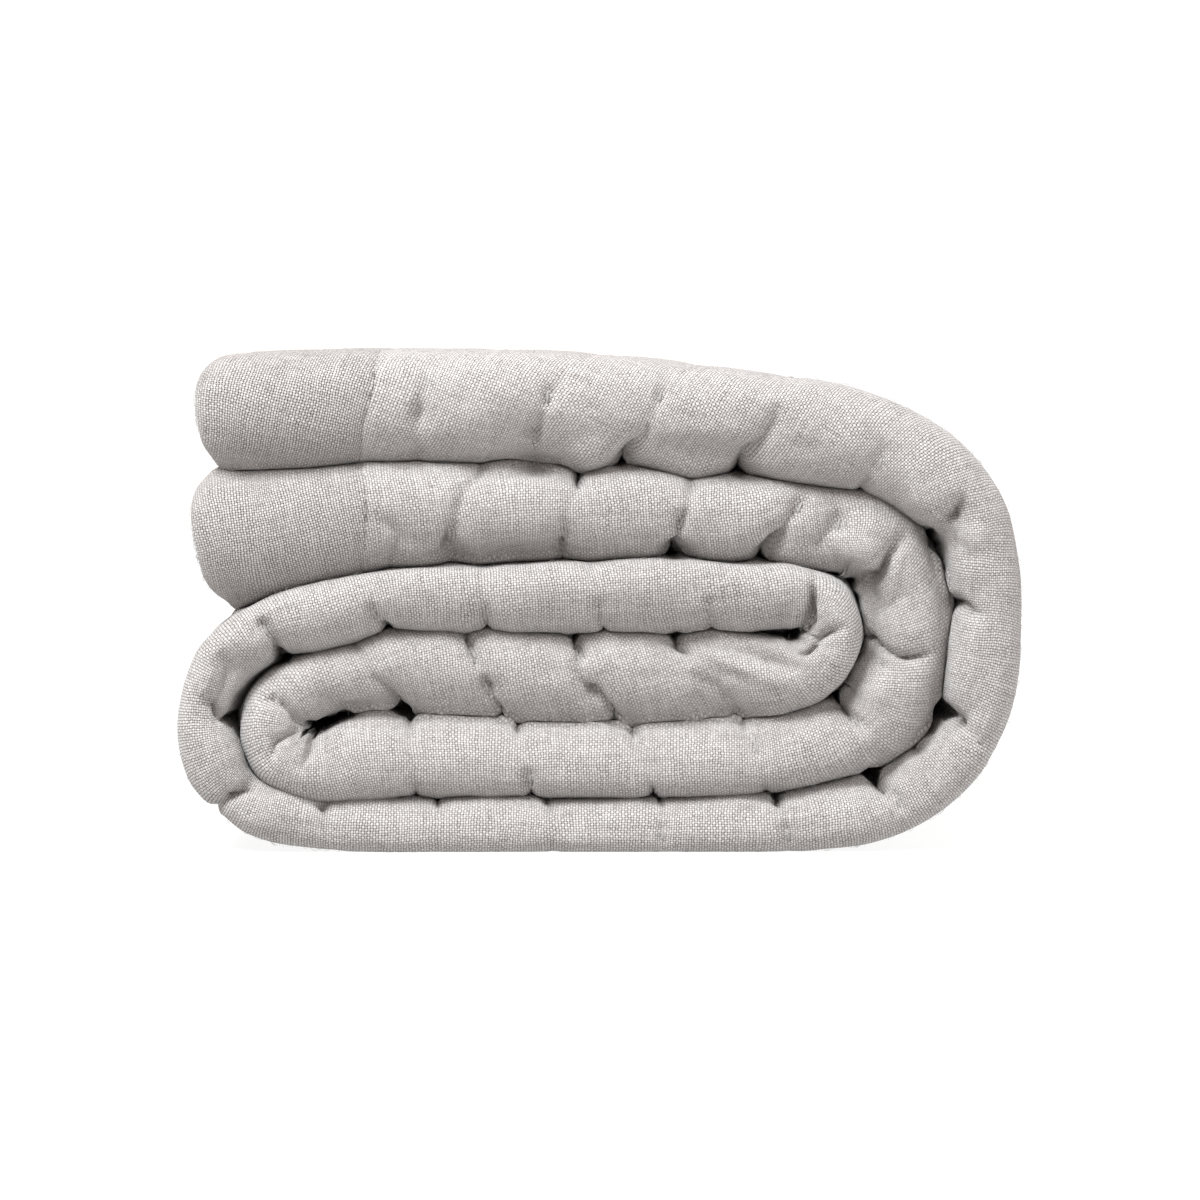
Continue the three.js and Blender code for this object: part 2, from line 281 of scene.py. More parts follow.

# Creases in the front fold: half width, share of the depth in a wider soft valley,
# then the crease's points as x, z and depth.
CREASES = [
    # upper run
    (5, 0.45, [(-80, 236, 0.7), (-82, 226, 1.6), (-86, 208, 3.5), (-87, 200, 1.9), (-87, 189, 2.2)]),
    (4.5, 0.4, [(-16, 233, 0.8), (-17, 228, 2), (-24, 217, 3.5), (-26, 212, 1.9), (-30, 200, 4.6),
        (-32, 193, 2.7)]),
    (5, 0.45, [(32, 233, 0.8), (33, 221, 2.4), (27, 212, 1.6), (23, 205, 2.2), (22, 199, 4.1),
        (16, 193, 6.8), (10, 184, 10.8)]),
    (5, 0.5, [(87, 218, 0.8), (85, 211, 2.7), (82, 205, 4.1), (77, 196, 6.1), (68, 186, 8.1),
        (65, 178, 10.8)]),
    (4, 0.3, [(135, 196, 0.5), (132, 190, 1.6), (128, 183, 1.6), (124, 172, 3.4)]),
    # outer right bend
    (4.5, 0.45, [(160, 157, 2), (164, 158.5, 8), (168, 161, 10), (171, 166, 7), (173, 170, 2)]),
    (7, 1.0, [(166, 148, 4.5), (172, 145, 4), (180, 144, 1.5)]),
    (5, 0.5, [(164, 120, 6), (168, 118.5, 9), (173, 116, 9), (178, 114, 6), (183, 113, 1.5)]),
    (6, 0.4, [(162, 68, 10), (167, 65, 13), (171, 62, 12), (174, 59, 6), (177, 56, 2.5), (182, 52, 1.4)]),
    (6, 0.9, [(148, 51, 3), (155, 46, 4), (158, 38, 3), (159, 31, 1.5), (159, 27, 1)]),
    (5, 0.4, [(129, 38, 9), (133, 34, 10), (136, 30, 6), (141, 26, 2), (143, 21, 1)]),
    # floor run
    (4, 0.35, [(84, 27, 6), (85, 24, 3.5), (87, 16, 1.2), (89, 7, 1.6), (90, 2, 1)]),
    (4, 0.35, [(28, 26, 4), (31, 22, 2), (31, 15, 1), (30, 8, 1.4), (30, 2, 0.6)]),
    (4, 0.35, [(-26, 26, 4), (-24, 23, 2.6), (-22, 16, 1.3), (-23, 7, 1.4), (-23, 2, 2.5)]),
    (4, 0.35, [(-78, 25, 4), (-77, 22, 2), (-77, 15, 1.3), (-77, 5, 1.8), (-78, 1, 1)]),
    (4, 0.35, [(-132, 24, 7), (-131, 20, 3.5), (-130, 14, 1.6), (-128, 7, 0.8)]),
    # outer left bend
    (4.4, 0.45, [(-166, 33, 9), (-172, 29, 11), (-177, 26, 12), (-180, 23, 9), (-185, 20, 5),
        (-187, 18, 1.5)]),
    (4.4, 0.5, [(-172, 62, 7), (-179, 66, 9), (-183, 70, 8), (-188, 73, 5), (-191, 75, 1)]),
    (6, 0.9, [(-181, 98, 1), (-179, 91, 5), (-176, 84, 7), (-176, 77, 5)]),
    (4, 0.4, [(-163, 114, 0.8), (-161, 110, 3.5), (-156, 104, 4), (-153, 97, 7), (-152, 93, 9)]),
    # third run
    (4, 0.35, [(-109, 118, 0.8), (-107, 114, 2), (-105, 110, 2.6), (-102, 106, 6), (-101, 104, 8)]),
    (3.5, 0.4, [(-56, 133, 1.6), (-56, 124, 0.8), (-55, 115, 1.2), (-55, 108, 3.5), (-54, 105, 5)]),
    (3.5, 0.35, [(-4, 136, 2), (-3, 133, 1.6), (-1, 124, 0.7), (-1, 114, 1.8), (1, 107, 3), (2, 104, 4)]),
    (3.5, 0.35, [(50, 132, 0.6), (52, 121, 1.4), (53, 111, 2), (53, 106, 3), (54, 104, 4)]),
    # middle fold
    (4, 0.2, [(103, 130, 3), (102, 126, 9), (101, 119, 14), (99, 112, 13), (98, 107, 9)]),
    (3, 0.35, [(117, 108, 1.5), (113, 107, 5), (108, 105, 7), (104, 104, 6), (101, 103, 5)]),
    (3, 0.35, [(100, 100, 6), (97, 97, 7), (95, 96, 4)]),
    # fourth run
    (6, 0.8, [(43, 101, 1.5), (57, 100, 3), (69, 97, 4), (81, 92, 4), (90, 87, 3)]),
    (5, 0.6, [(47, 83, 1.7), (55, 78, 4.3), (61, 70, 4.9), (66, 65, 3.6), (68, 61, 2.4)]),
    (4.5, 0.4, [(36, 104, 10.2), (38, 101, 8.7), (42, 97, 5.1), (47, 94, 1.4)]),
    (3.6, 0.4, [(-13, 105, 7.2), (-10, 100, 6.5), (-9, 95, 5.1), (-11, 89, 2.6), (-9, 81, 3.5),
        (-3, 76, 5.2)]),
    (3.6, 0.4, [(-3, 76, 5.2), (2, 71, 5.8), (5, 67, 5.8), (7, 62, 8.7)]),
    (3, 0.35, [(-64, 105, 7.2), (-62, 102, 5.8), (-61, 95, 4.9), (-59, 91, 4.1), (-56, 84, 2.9),
        (-53, 78, 4.3)]),
    (3, 0.35, [(-53, 78, 4.3), (-51, 72, 3.5), (-47, 64, 6.5), (-46, 62, 8.7)]),
    (4, 0.45, [(-119, 101, 2.2), (-114, 94, 1.4), (-108, 83, 2.9), (-102, 78, 4.9), (-98, 72, 5.5),
        (-94, 64, 5.8)]),
    # inner left bend
    (3, 0.3, [(-162, 73, 1.5), (-160, 73, 4), (-156, 74, 5), (-151, 71, 5), (-146, 66, 4), (-142, 61, 3)]),
    (3, 0.35, [(-157, 43, 1), (-157, 47, 4), (-155, 53, 6), (-149, 56, 5), (-144, 58, 3)]),
    (3, 0.3, [(-139, 58, 3), (-137, 55, 5), (-137, 52, 6), (-139, 46, 4), (-142, 41, 2)]),
    (6, 0.8, [(-135, 74, 2), (-126, 68, 3), (-119, 65, 4)]),
    # fifth run
    (3.8, 0.35, [(-91, 65, 4), (-91, 63, 4), (-90, 56, 3.4), (-89, 48, 1.2), (-88, 37, 1.2),
        (-88, 27, 3), (-88, 24, 5)]),
    (3.8, 0.35, [(-40, 63, 6), (-39, 59, 4), (-39, 53, 2), (-37, 45, 1.2), (-34, 35, 2.4), (-33, 28, 3),
        (-33, 25, 5)]),
    (3.8, 0.35, [(14, 63, 7), (16, 59, 5), (17, 53, 3), (20, 45, 1.8), (23, 40, 1.8), (24, 33, 1.6),
        (26, 24, 6)]),
    (3.8, 0.35, [(66, 65, 3), (69, 60, 3), (73, 51, 2.6), (75, 46, 2), (78, 37, 0.8), (80, 27, 3)]),
    # inner right bend
    (3.2, 0.35, [(113, 74, 10), (116, 70, 9), (120, 65, 5), (124, 62, 3), (129, 59, 1)]),
    (5, 0.8, [(124, 94, 5), (133, 89, 5), (142, 85, 3), (151, 81, 0.8)]),
    (3.6, 0.4, [(122, 103, 8), (124, 101, 8), (133, 98, 7), (142, 94, 8), (148, 93, 11), (155, 94, 8),
        (158, 95, 2)]),
    (7, 1.0, [(126, 112, 5), (137, 117, 5), (145, 122, 4), (153, 127, 1.5)]),
    (5, 0.35, [(144, 151, 2), (141, 147, 5), (138, 142, 9), (136, 138, 13), (133, 134, 14),
        (129, 131, 13), (123, 129, 12), (118, 128, 8)]),
    # second run
    (5, 0.8, [(115, 169, 1.2), (113, 161, 4.8), (110, 154, 5.4), (104, 146, 4.8)]),
    (4, 0.5, [(96, 172, 1.8), (94, 167, 6), (92, 162, 6), (89, 157, 4.8), (85, 149, 7.2),
        (78, 140, 10.8), (76, 138, 10.8)]),
    (3.6, 0.4, [(43, 178, 4.8), (43, 171, 3.6), (41, 163, 2.4), (38, 157, 4.1), (37, 149, 3.6),
        (35, 145, 7.2), (34, 142, 9.6)]),
    (3.4, 0.4, [(-10, 185, 9.6), (-10, 179, 7.2), (-11, 173, 3.6), (-14, 168, 1.4), (-17, 160, 1.1),
        (-18, 155, 1.4)]),
    (3.4, 0.4, [(-18, 155, 1.4), (-18, 147, 4.8), (-18, 141, 8.4)]),
    (3, 0.5, [(-57, 145, 1.2), (-47, 145, 2.4), (-33, 145, 2.9), (-21, 146, 2.9)]),
    (4.5, 0.45, [(-57, 185, 3.6), (-59, 179, 3.6), (-64, 173, 2.9), (-69, 159, 3.4), (-72, 152, 6),
        (-73, 146, 8.4), (-73, 141, 10.8)]),
    (5, 0.8, [(-107, 160, 2.5), (-100, 155, 4.5), (-95, 149, 4.5), (-98, 142, 4), (-101, 136, 3)]),
]

# Swellings and hollows of the front fold: x, z, reach along and across, turn and height.
SWELLINGS = [
    # upper run
    (-86, 208, 7, 8, 0, -2), (-30, 186, 12, 5, 0, -4), (-3, 188, 13, 9, 0, 4.5),
    (50, 191, 26, 7, -4, -4.5), (46, 181, 18, 5, -6, 3), (97, 194, 8, 6, 0, -1.8),
    (157, 165, 14, 10, -30, 3),
    # outer right bend
    (175, 151, 10, 7, -20, 2.2), (150, 44, 12, 5, 35, 2), (169, 76, 7, 14, 0, 2),
    # outer left bend
    (-186, 84, 8, 10, 10, 1.5),
    # third run
    (45, 127, 10, 8, 0, -1),
    # fourth run
    (66, 89, 24, 4.5, -24, 3), (-112, 67, 20, 5, 8, -3), (-104, 60, 22, 4, 6, -2),
    (82, 93, 18, 5, -25, -3),
    # fifth run and inner right bend
    (133, 47, 4, 4, 0, -2), (133, 77, 14, 9, 30, 2.5), (141, 134, 4, 13, -8, 2.2),
    # second run
    (82, 146, 12, 6, 50, -4), (39, 142, 11, 6, 0, -4), (-40, 141, 26, 4.5, 0, -3),
    (-34, 182, 27, 6, 0, -3), (-69, 141, 8, 6, 0, -3), (125, 142, 14, 8, -35, 5),
    (125, 123, 11, 6, -60, -3.5),
]

# Stitches that show in the front folds: x and z of both ends.
STITCHES = [
    # upper run
    (-25, 220, -25, 214), (-31, 202, -31, 196), (29, 220, 28, 215), (135, 191, 132, 183),
    # second run
    (96, 168, 94, 162), (114, 160, 113, 154), (145, 151, 140, 145), (40, 162, 38, 156),
    (-16, 157, -16, 152), (-69, 155, -69, 150),
    # outer right bend
    (178, 57, 182, 52), (141, 27, 143, 22),
    # floor run
    (89, 12, 90, 6), (30, 13, 30, 6),
    # third run
    (-160, 110, -158, 104), (-109, 117, -106, 112), (-55, 117, -55, 112), (0, 118, 0, 111),
    (52, 120, 53, 112),
    # fourth run
    (-62, 99, -59, 91), (-55, 82, -53, 76), (-11, 98, -10, 93), (-5, 80, -3, 75),
    # fifth run
    (-33, 38, -33, 33), (73, 56, 75, 48), (121, 65, 124, 60),
]


def smoothstep(value, low, high):
    t = np.clip((value - low) / (high - low), 0.0, 1.0)
    return t * t * (3 - 2 * t)


# The middle line


def middle_line(steps=24):
    """The strip's middle line, run smoothly through its sections."""
    rows = np.array(SECTIONS, float)
    gap = np.hypot(*np.diff(rows[:, :2], axis=0).T)
    slope = np.gradient(rows, axis=0)
    ratio = np.diff(rows, axis=0) / gap[:, None]
    slope[0], slope[-1] = ratio[0], ratio[-1]
    total = (gap[:-1] + gap[1:])[:, None]
    slope[1:-1] = (ratio[:-1] * gap[1:, None] + ratio[1:] * gap[:-1, None]) / total
    t = np.linspace(0, 1, steps, endpoint=False)[:, None]
    line = []
    for i, reach in enumerate(gap):
        piece = rows[i] * (2 * t**3 - 3 * t**2 + 1) + slope[i] * reach * (t**3 - 2 * t**2 + t)
        piece = piece + rows[i + 1] * (3 * t**2 - 2 * t**3) + slope[i + 1] * reach * (t**3 - t**2)
        line.append(piece)
    line.append(rows[-1:])
    x, z, thick = np.concatenate(line).T
    along = np.concatenate([[0], np.cumsum(np.hypot(np.diff(x), np.diff(z)))])
    heading = np.unwrap(np.arctan2(np.gradient(z), np.gradient(x)))
    soft = np.hanning(2 * steps)
    bend = np.convolve(np.gradient(heading, along), soft / soft.sum(), "same")
    return {"x": x, "z": z, "thick": thick, "along": along, "heading": heading, "bend": bend}


LINE = middle_line()
SEAMS = (BORDER, LINE["along"][-1] - BORDER)
CHANNEL_PLACES = np.array([first + i * step for first, step, count in CHANNELS for i in range(count)])


def at(name, along):
    return np.interp(along, LINE["along"], LINE[name])


def weave_along():
    """How far the weave has run at each place of the middle line, how far it has strayed, its turn."""
    step = np.diff(LINE["along"], prepend=0)
    # The threads keep their distance on the outside of a bend.
    turn = np.abs(np.diff(LINE["heading"], prepend=LINE["heading"][0]))
    run = step + turn * LINE["thick"] * OUTER_RUN
    angle = np.radians(np.interp(LINE["along"], *np.array(WEAVE_TURNS, float).T))
    return np.cumsum(run * np.cos(angle)), np.cumsum(run * np.sin(angle)), angle


WEAVE_ROWS = weave_along()


def nearest_along(x, z):
    """Where along the strip a place of the front lies, by distance in half thicknesses."""
    return LINE["along"][(np.hypot(LINE["x"] - x, LINE["z"] - z) / LINE["thick"]).argmin()]


# Noise that is the same each run


def lattice(i, j, k, seed):
    """A number from -1 to 1 for each corner of a grid."""
    h = (i * 374761393 + j * 668265263 + k * 2147483647 + seed * 1274126177) & 0xFFFFFFFF
    h = ((h ^ (h >> 13)) * 1103515245) & 0xFFFFFFFF
    h = ((h ^ (h >> 16)) * 668265263) & 0xFFFFFFFF
    return ((h ^ (h >> 15)) & 0xFFFF) / 32767.5 - 1.0


def noise(points, scale, seed):
    """Smooth noise from -1 to 1 at points (..., 3), with features about scale across."""
    p = np.asarray(points, float) / scale
    base = np.floor(p).astype(np.int64)
    f = p - base
    f = f * f * f * (f * (f * 6 - 15) + 10)
    total = 0.0
    for corner in range(8):
        step = np.array([corner & 1, corner >> 1 & 1, corner >> 2 & 1])
        weight = np.prod(np.where(step, f, 1 - f), axis=-1)
        i, j, k = np.moveaxis(base + step, -1, 0)
        total = total + weight * lattice(i, j, k, seed)
    return total


# The ring round the strip, in half thicknesses: front fold, inner face, back, outer face


def front_shape():
    """Evenly spaced points of the front fold, from its outer to its inner edge: back and up."""
    a = np.linspace(math.pi / 2, -math.pi / 2, 2001)
    back = (1 - np.clip(np.cos(a), 0, 1) ** (2 / FRONT_POWER)) * FRONT_FOLD
    up = np.sign(a) * np.abs(np.sin(a)) ** (2 / FRONT_POWER)
    run = np.concatenate([[0], np.cumsum(np.hypot(np.diff(back), np.diff(up)))])
    even = np.linspace(0, run[-1], FRONT_COLUMNS)
    return np.interp(even, run, back), np.interp(even, run, up), run[-1]


def back_shape():
    """Points of the back from its inner to its outer edge: up, and how far in for round layers."""
    up = np.linspace(-1, 1, BACK_COLUMNS + 2)[1:-1]
    layer = np.clip(np.searchsorted(LAYER_EDGES, up) - 1, 0, len(LAYER_EDGES) - 2)
    low, high = LAYER_EDGES[layer], LAYER_EDGES[layer + 1]
    share = np.sin(math.pi * (up - low) / (high - low))
    return up, LAYER_DEPTH * (high - low) * (1 - np.clip(share, 0, 1) ** LAYER_POWER), layer


FRONT_BACK, FRONT_UP, FRONT_LENGTH = front_shape()
BACK_UP, BACK_INWARD, BACK_LAYER = back_shape()
COLUMN_UP = np.concatenate([FRONT_UP, -np.ones(INNER_COLUMNS), BACK_UP, np.ones(OUTER_COLUMNS)])
OUTER_FACE = range(len(COLUMN_UP) - OUTER_COLUMNS, len(COLUMN_UP))
INNER_FACE = range(FRONT_COLUMNS - EDGE_COLUMNS, FRONT_COLUMNS + INNER_COLUMNS)
FACE_COLUMNS = [*range(EDGE_COLUMNS), *INNER_FACE, *OUTER_FACE]


def calm(along, reach=0.0):
    """1 where the strip has room to be moved, falling to 0 on the inside of a tight bend within reach."""
    half = at("thick", along) / 2
    shifts = (-reach, -reach / 2, 0, reach / 2, reach)
    tight = [COLUMN_UP * (at("bend", along + shift) * half)[:, None] for shift in shifts]
    return 1 - smoothstep(np.max(tight, axis=0), ROOMY, TIGHTEST)


def pressed(along, up):
    """How far the faces that touch another band are pressed into it."""
    outside = smoothstep(along, OUTSIDE_END - OUTSIDE_FADE, OUTSIDE_END + OUTSIDE_FADE)
    touching = np.where(up > 0, outside[:, None], 1.0)
    return SQUEEZE * np.sign(up) * smoothstep(np.abs(up), 0.3, 1.0) * touching


def face_depths(start, end, count):
    """Depths of a long face's columns, from the front fold to the back."""
    return start + (end - start) * (np.arange(1, count + 1) / (count + 1)) ** COLUMN_POWER


def back_depths(along, back, full):
    """Depths of the back's columns, where the layers end unevenly."""
    rows = [np.stack([along, along * 0, along * 0 + 9 * k], 1) for k in range(len(LAYER_EDGES) - 1)]
    uneven = noise(np.stack(rows, 1), LAYER_SCALE, 5)
    return back - BACK_INWARD * full - LAYER_INSET - LAYER_STRAY * (1 + uneven[:, BACK_LAYER])


def fold_behind(along, rise, full):
    """How far the front fold lies behind its plain place, by height in the band."""
    places = np.array(FRONT_PLACES, float).T
    tilt = np.interp(along, places[0], places[1])[:, None]
    forward = np.interp(along, places[0], places[2])[:, None]
    return np.abs(tilt) * (0.5 - np.sign(tilt) * rise / (2 * full + 1)) - forward


def weave_places(along, around, outer, fold_start, full, shift):
    """The weave's places. They run from the middle of the front fold, where its threads lie straight."""
    around = around - FRONT_LENGTH * full / 2
    turned = np.clip(around, -WEAVE_REACH, WEAVE_REACH)
    # Over the outer face it turns back, so that it meets the front fold's outer edge.
    before = -FRONT_LENGTH * full / 2 - (outer - fold_start)
    before = np.maximum(before, -WEAVE_REACH)
    share = smoothstep(outer, WEAVE_REACH - DEPTH / 2, DEPTH / 2)
    turned[:, -OUTER_COLUMNS:] = before + (WEAVE_REACH - before) * share
    run, drift, angle = [np.interp(along, LINE["along"], row)[:, None] for row in WEAVE_ROWS]
    across = drift + turned * np.cos(angle) + around - turned
    return np.stack([run + shift - turned * np.sin(angle), across], 2)


def skin(along, inset, lean):
    """The strip's skin at each distance along it: points (stations, columns, 3) and weave places."""
    along, inset = np.asarray(along, float), np.asarray(inset, float)
    full = np.maximum(at("thick", along) / 2 - inset, 0.05)[:, None]
    x, z, heading = (at(n, along)[:, None] for n in ("x", "z", "heading"))
    front = -DEPTH / 2 + inset[:, None]
    back = DEPTH / 2 - inset[:, None]
    fold_start = front + FRONT_FOLD * full
    face_end = back - FACE_END[0] * full - FACE_END[1]
    inner = face_depths(fold_start, face_end, INNER_COLUMNS)
    outer = face_depths(fold_start, face_end, OUTER_COLUMNS)[:, ::-1]
    y = np.concatenate([front + FRONT_BACK * full, inner, back_depths(along, back, full), outer], 1)
    n = COLUMN_UP * full
    n = n + pressed(along, n / full) * np.minimum(full / SQUEEZE_HALF, 1)
    shift = lean[:, None] * n / np.maximum(full, 1)
    # On the inside of a bend the faces stop short of its centre.
    bend = at("bend", along)[:, None]
    n = np.where(n * bend > TIGHTEST, TIGHTEST / np.where(bend == 0, 1, bend), n)
    rise = n * np.cos(heading) + shift * np.sin(heading)
    fade = smoothstep(-y, DEPTH / 2 - FORWARD_REACH, DEPTH / 2)
    y = y + fold_behind(along, rise, full) * fade
    points = np.stack([x - n * np.sin(heading) + shift * np.cos(heading), y, z + rise], 2)
    around = np.zeros_like(y)
    around[:, 1:] = np.cumsum(np.hypot(np.diff(y, axis=1), np.diff(n, axis=1)), 1)
    return points, weave_places(along, around, outer, fold_start, full, shift)


def unit(vectors):
    return vectors / np.maximum(np.linalg.norm(vectors, axis=-1, keepdims=True), 1e-9)


def outward(points):
    """Unit normals of a grid of points whose rows are closed rings."""
    around = np.roll(points, -1, 1) - np.roll(points, 1, 1)
    return unit(np.cross(around, np.gradient(points, axis=0)))


# Creases, channels and small folds, as depths under the plain skin


def valley(distance, reach):
    """A soft channel with a sharp bottom, one deep and as wide as reach on each side."""
    return np.clip(1 - distance / reach, 0, 1) ** VALLEY_POWER


def from_row(points, row):
    """Distance from points (..., 2) to a row of x, z and depth, and the depth at the nearest place."""
    best = np.full(points.shape[:-1], 1e9)
    depth = np.zeros_like(best)
    for a, b in zip(row[:-1], row[1:]):
        step = b[:2] - a[:2]
        t = np.clip((points - a[:2]) @ step / (step @ step), 0, 1)
        distance = np.linalg.norm(points - a[:2] - t[..., None] * step, axis=-1)
        nearer = distance < best
        best = np.minimum(distance, best)
        depth = np.where(nearer, a[2] + t * (b[2] - a[2]), depth)
    return best, depth


def front_creases(points, along):
    """Depth of the creases, swellings and hollows in the front fold."""
    depth = np.zeros(points.shape[:2])
    for width, wide, row in CREASES:
        row = np.array(row, float)
        near = np.abs(along - nearest_along(*row[:, :2].mean(0))) < CREASE_WINDOW
        distance, deep = from_row(points[near][..., [0, 2]], row)
        depth[near] += deep * SHARP_DEPTH * (1 - wide) * valley(distance, width)
        depth[near] += deep * SOFT_DEPTH * wide * valley(distance, width * WIDE_REACH)
    for x, z, reach, across, turn, height in SWELLINGS:
        near = np.abs(along - nearest_along(x, z)) < CREASE_WINDOW
        offset = points[near][..., [0, 2]] - (x, z)
        angle = math.radians(turn)
        u = (offset @ (math.cos(angle), math.sin(angle))) / reach
        v = (offset @ (-math.sin(angle), math.cos(angle))) / across
        depth[near] -= height * (1 - smoothstep(np.hypot(u, v), 0, SWELLING_END))
    return depth * (1 - smoothstep(points[..., 1] + DEPTH / 2, *CREASE_END))


def meander(place, y):
    """How far a line of stitches strays along the strip at each depth."""
    spot = np.stack([y, np.full_like(y, place * 7.0), np.zeros_like(y)], -1)
    lean = CHANNEL_LEAN * max(0.0, 1 - place / LEAN_END) + LEAN_LEFT
    wave = sum(reach * noise(spot, size, seed) for reach, size, seed in MEANDERS)
    return lean * (y + DEPTH / 2) + wave


def face_channels(points, along):
    """The stitched channels on the faces, away from the front."""
    y = points[..., 1]
    depth = np.zeros(points.shape[:2])
    for place in CHANNEL_PLACES:
        near = np.abs(along - place) < CHANNEL_WINDOW
        line = place + meander(place, y[near])
        depth[near] += CHANNEL_DEPTH * valley(np.abs(along[near][:, None] - line), CHANNEL_REACH)
    return depth * smoothstep(y + DEPTH / 2, *CHANNEL_START)


def small_folds(points):
    """Shallow unevenness all over, with a few sharper wrinkles."""
    soft = sum(height * noise(points, size, seed) for height, size, seed in UNEVENNESS)
    wrinkle = valley(np.abs(noise(points * (1, 0.5, 1), WRINKLE_SCALE, 7)), WRINKLE_WIDTH)
    return soft + WRINKLE * wrinkle * smoothstep(noise(points, WRINKLE_PATCH, 8), -0.1, 0.5)


def pinches(points, normals, spots):
    """Moves points in round each spot, given as x, y, z, radius and depth."""
    for x, y, z, radius, depth in spots:
        offset = points - (x, y, z)
        near = (np.abs(offset) < radius).all(-1)
        distance = np.linalg.norm(offset[near], axis=-1)
        points[near] -= normals[near] * (depth * valley(distance, radius))[:, None]
    return points


# Meshes


def ring_faces(rings, columns):
    """Four-cornered faces between the neighbours of a row of closed rings."""
    index = np.arange(rings * columns).reshape(rings, columns)
    right = np.roll(index, -1, 1)
    return np.stack([index[:-1], right[:-1], right[1:], index[1:]], -1).reshape(-1, 4)


def smooth_mesh(name, vertices, faces):
    mesh = bpy.data.meshes.new(name)
    mesh.from_pydata((vertices * MM).tolist(), [], faces)
    mesh.shade_smooth()
    return mesh


def grid_mesh(name, points, weave):
    """A skin over rings of points, with the weave's places as a UV map."""
    rings, columns = points.shape[:2]
    faces = ring_faces(rings, columns)
    mesh = smooth_mesh(name, points.reshape(-1, 3), faces.tolist())
    # Round the last column the weave runs on past the seam of the map.
    places = weave.reshape(-1, 2)[faces]
    last = np.tile(np.arange(columns) == columns - 1, rings - 1)
    span = np.linalg.norm(points[:, 0] - points[:, -1], axis=-1)
    places[last, 1, 1] = places[last, 0, 1] + span[:-1]
    places[last, 2, 1] = places[last, 3, 1] + span[1:]
    layer = mesh.uv_layers.new(name="weave")
    layer.data.foreach_set("uv", (places * MM).astype(np.float32).ravel())
    mesh.update()
    mesh.validate()
    return mesh


def tree_of(parts):
    """A search tree over grids of points."""
    vertices = []
    faces = []
    for points in parts:
        faces.extend((ring_faces(*points.shape[:2]) + len(vertices)).tolist())
        vertices.extend(points.reshape(-1, 3).tolist())
    return BVHTree.FromPolygons(vertices, faces)


def close_gaps(points, along, tree, columns):
    """Swells the faces that lie on each other until they touch, from a little behind the front."""
    normals = outward(points)
    fade = smoothstep(points[..., 1] + DEPTH / 2, *GAP_START) * (1 - smoothstep(points[..., 1], *GAP_END))
    fade *= calm(along, BEND_REACH)
    swell = np.zeros(points.shape[:2])
    for i in range(points.shape[0]):
        for j in columns:
            if fade[i, j] > 0:
                normal = Vector(normals[i, j])
                hit = tree.ray_cast(Vector(points[i, j]) + normal * GAP_LEFT, normal, GAP_REACH)
                swell[i, j] = max((hit[3] or 0) / 2 - GAP_LEFT, 0)
    for _ in range(3):
        swell[1:-1] = (swell[:-2] + 2 * swell[1:-1] + swell[2:]) / 4
    return points + normals * (swell * fade)[..., None]


# The pieces of the quilt


def seam_lean(along):
    return sum(lean * np.exp(-(((along - seam) / LEAN_REACH) ** 2)) for lean, seam in zip(SEAM_LEANS, SEAMS))


def seam_groove(along):
    away = np.minimum(np.abs(along - SEAMS[0]), np.abs(along - SEAMS[1]))
    return SEAM_DEPTH * valley(away, SEAM_REACH)


def puffs(along):
    """How far the cloth stands out between two channels."""
    places = np.concatenate([SEAMS[:1], CHANNEL_PLACES, SEAMS[1:]])
    after = np.clip(np.searchsorted(places, along), 1, len(places) - 1)
    share = (along - places[after - 1]) / (places[after] - places[after - 1])
    return PUFF * np.sin(math.pi * np.clip(share, 0, 1)) ** PUFF_POWER


def relief(points, along, inset):
    """Draws the plain skin in at the creases and channels, and lets it stand out between them."""
    normals = outward(points)
    outside = (along[:, None] < OUTSIDE_END) & (COLUMN_UP[None] > 0)
    creases = front_creases(points, along)
    depth = face_channels(points, along) * outside
    depth += seam_groove(along)[:, None]
    depth -= SEAM_PUFF * valley(np.abs(along - SEAMS[1]), SEAM_PUFF_REACH)[:, None]
    depth -= puffs(along)[:, None] * np.where(outside, OUTSIDE_PUFF, 1.0)
    depth += small_folds(points) * np.where(outside & (COLUMN_UP > 0.6), OUTSIDE_FOLDS, 1.0)
    room = calm(along)[..., None]
    # On the inside of a tight bend a crease goes straight back.
    inward = normals * room + np.array([0, -1, 0]) * (1 - room)
    moved = normals * room * depth[..., None] + inward * creases[..., None]
    return points - moved * (inset < SHOWN)[:, None, None]


def body_stations():
    """Distance along the strip and inset of each ring. The body's ends turn in over the borders."""
    start, end = SEAMS[0] + BODY_END, SEAMS[1] - BODY_END
    run = np.linspace(start, end, round((end - start) / STATION_STEP))
    turn, inset = np.array(BODY_TURN).T
    along = np.concatenate([start - turn, run, run[-1] + turn[::-1]])
    return along, np.concatenate([inset, run * 0, inset[::-1]])


def body_skin():
    along, inset = body_stations()
    points, weave = skin(along, inset, seam_lean(along))
    return relief(points, along, inset), weave, along


